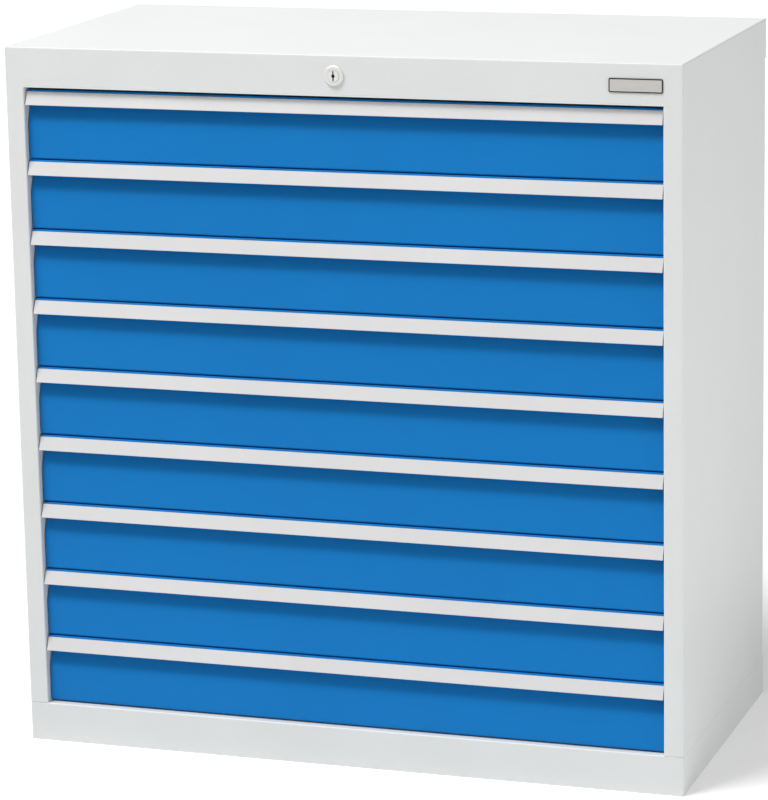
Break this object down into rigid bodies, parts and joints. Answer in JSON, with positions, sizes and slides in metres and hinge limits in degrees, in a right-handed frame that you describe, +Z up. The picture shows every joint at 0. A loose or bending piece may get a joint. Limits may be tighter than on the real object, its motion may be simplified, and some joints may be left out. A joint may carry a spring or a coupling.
{
  "type": "drawer cabinet",
  "caption": "Steel drawer cabinet: full-extension drawers on telescopic slides, fronts with a finger recess under a sloping grip strip, and one key lock for all drawers.",
  "frame": {"origin": "on the floor, below the middle of the housing", "axes": "+Z up, +X to the right across the width seen from the front, the drawers open towards -Y"},
  "size_m": [0.98, 0.5034, 1.019],
  "materials": {
    "housing_paint": "light grey powder coat, satin",
    "drawer_paint": "blue powder coat, satin",
    "inner_paint": "light grey powder coat, satin",
    "grip_aluminium": "light grey lacquered aluminium profile",
    "zinc_steel": "bright zinc-plated steel",
    "lock_nickel": "satin nickel"
  },
  "bodies": {
    "housing": {"top_cover": "housing_paint", "base_pan": "housing_paint", "side_panel_left": "housing_paint", "side_panel_right": "housing_paint", "back_panel": "housing_paint", "front_posts": "inner_paint", "rear_posts": "inner_paint", "cabinet_rails": "zinc_steel", "lock_barrel": "lock_nickel", "lock_nut": "zinc_steel", "rod_guides": "zinc_steel"},
    "lock": {"lock_plug": "lock_nickel", "lock_cam": "zinc_steel"},
    "lock_rod": {"lock_rod": "zinc_steel"},
    "locking_bar": {"locking_bar": "zinc_steel"},
    "drawer_1": {"drawer_front_1": "drawer_paint", "grip_strip_1": "grip_aluminium", "drawer_tray_1": "inner_paint", "drawer_runner_1": "zinc_steel"},
    "slide_mid_1": {"slide_mid_1": "zinc_steel"},
    "drawer_2": {"drawer_front_2": "drawer_paint", "grip_strip_2": "grip_aluminium", "drawer_tray_2": "inner_paint", "drawer_runner_2": "zinc_steel"},
    "slide_mid_2": {"slide_mid_2": "zinc_steel"},
    "drawer_3": {"drawer_front_3": "drawer_paint", "grip_strip_3": "grip_aluminium", "drawer_tray_3": "inner_paint", "drawer_runner_3": "zinc_steel"},
    "slide_mid_3": {"slide_mid_3": "zinc_steel"},
    "drawer_4": {"drawer_front_4": "drawer_paint", "grip_strip_4": "grip_aluminium", "drawer_tray_4": "inner_paint", "drawer_runner_4": "zinc_steel"},
    "slide_mid_4": {"slide_mid_4": "zinc_steel"},
    "drawer_5": {"drawer_front_5": "drawer_paint", "grip_strip_5": "grip_aluminium", "drawer_tray_5": "inner_paint", "drawer_runner_5": "zinc_steel"},
    "slide_mid_5": {"slide_mid_5": "zinc_steel"},
    "drawer_6": {"drawer_front_6": "drawer_paint", "grip_strip_6": "grip_aluminium", "drawer_tray_6": "inner_paint", "drawer_runner_6": "zinc_steel"},
    "slide_mid_6": {"slide_mid_6": "zinc_steel"},
    "drawer_7": {"drawer_front_7": "drawer_paint", "grip_strip_7": "grip_aluminium", "drawer_tray_7": "inner_paint", "drawer_runner_7": "zinc_steel"},
    "slide_mid_7": {"slide_mid_7": "zinc_steel"},
    "drawer_8": {"drawer_front_8": "drawer_paint", "grip_strip_8": "grip_aluminium", "drawer_tray_8": "inner_paint", "drawer_runner_8": "zinc_steel"},
    "slide_mid_8": {"slide_mid_8": "zinc_steel"},
    "drawer_9": {"drawer_front_9": "drawer_paint", "grip_strip_9": "grip_aluminium", "drawer_tray_9": "inner_paint", "drawer_runner_9": "zinc_steel"},
    "slide_mid_9": {"slide_mid_9": "zinc_steel"}
  },
  "joints": [
    {"name": "lock_turn", "type": "hinge", "parent": "housing", "child": "lock", "pos_m": [0, -0.25, 0.9905], "axis": [0, 1, 0], "range_deg": [0, 90]},
    {"name": "rod_slide", "type": "slide", "parent": "housing", "child": "lock_rod", "axis": [1, 0, 0], "range_m": [0, 0.01]},
    {"name": "bar_lift", "type": "slide", "parent": "housing", "child": "locking_bar", "axis": [0, 0, 1], "range_m": [0, 0.01]},
    {"name": "drawer_1_slide", "type": "slide", "parent": "housing", "child": "drawer_1", "axis": [0, -1, 0], "range_m": [0, 0.4]},
    {"name": "mid_1_slide", "type": "slide", "parent": "housing", "child": "slide_mid_1", "axis": [0, -1, 0], "range_m": [0, 0.2]},
    {"name": "drawer_2_slide", "type": "slide", "parent": "housing", "child": "drawer_2", "axis": [0, -1, 0], "range_m": [0, 0.4]},
    {"name": "mid_2_slide", "type": "slide", "parent": "housing", "child": "slide_mid_2", "axis": [0, -1, 0], "range_m": [0, 0.2]},
    {"name": "drawer_3_slide", "type": "slide", "parent": "housing", "child": "drawer_3", "axis": [0, -1, 0], "range_m": [0, 0.4]},
    {"name": "mid_3_slide", "type": "slide", "parent": "housing", "child": "slide_mid_3", "axis": [0, -1, 0], "range_m": [0, 0.2]},
    {"name": "drawer_4_slide", "type": "slide", "parent": "housing", "child": "drawer_4", "axis": [0, -1, 0], "range_m": [0, 0.4]},
    {"name": "mid_4_slide", "type": "slide", "parent": "housing", "child": "slide_mid_4", "axis": [0, -1, 0], "range_m": [0, 0.2]},
    {"name": "drawer_5_slide", "type": "slide", "parent": "housing", "child": "drawer_5", "axis": [0, -1, 0], "range_m": [0, 0.4]},
    {"name": "mid_5_slide", "type": "slide", "parent": "housing", "child": "slide_mid_5", "axis": [0, -1, 0], "range_m": [0, 0.2]},
    {"name": "drawer_6_slide", "type": "slide", "parent": "housing", "child": "drawer_6", "axis": [0, -1, 0], "range_m": [0, 0.4]},
    {"name": "mid_6_slide", "type": "slide", "parent": "housing", "child": "slide_mid_6", "axis": [0, -1, 0], "range_m": [0, 0.2]},
    {"name": "drawer_7_slide", "type": "slide", "parent": "housing", "child": "drawer_7", "axis": [0, -1, 0], "range_m": [0, 0.4]},
    {"name": "mid_7_slide", "type": "slide", "parent": "housing", "child": "slide_mid_7", "axis": [0, -1, 0], "range_m": [0, 0.2]},
    {"name": "drawer_8_slide", "type": "slide", "parent": "housing", "child": "drawer_8", "axis": [0, -1, 0], "range_m": [0, 0.4]},
    {"name": "mid_8_slide", "type": "slide", "parent": "housing", "child": "slide_mid_8", "axis": [0, -1, 0], "range_m": [0, 0.2]},
    {"name": "drawer_9_slide", "type": "slide", "parent": "housing", "child": "drawer_9", "axis": [0, -1, 0], "range_m": [0, 0.4]},
    {"name": "mid_9_slide", "type": "slide", "parent": "housing", "child": "slide_mid_9", "axis": [0, -1, 0], "range_m": [0, 0.2]}
  ],
  "couplings": [
    {"joint": "lock_turn", "follows": "rod_slide", "rad_per_m": 157.08},
    {"joint": "bar_lift", "follows": "rod_slide", "ratio": 1},
    {"joint": "mid_1_slide", "follows": "drawer_1_slide", "ratio": 0.5},
    {"joint": "mid_2_slide", "follows": "drawer_2_slide", "ratio": 0.5},
    {"joint": "mid_3_slide", "follows": "drawer_3_slide", "ratio": 0.5},
    {"joint": "mid_4_slide", "follows": "drawer_4_slide", "ratio": 0.5},
    {"joint": "mid_5_slide", "follows": "drawer_5_slide", "ratio": 0.5},
    {"joint": "mid_6_slide", "follows": "drawer_6_slide", "ratio": 0.5},
    {"joint": "mid_7_slide", "follows": "drawer_7_slide", "ratio": 0.5},
    {"joint": "mid_8_slide", "follows": "drawer_8_slide", "ratio": 0.5},
    {"joint": "mid_9_slide", "follows": "drawer_9_slide", "ratio": 0.5}
  ]
}
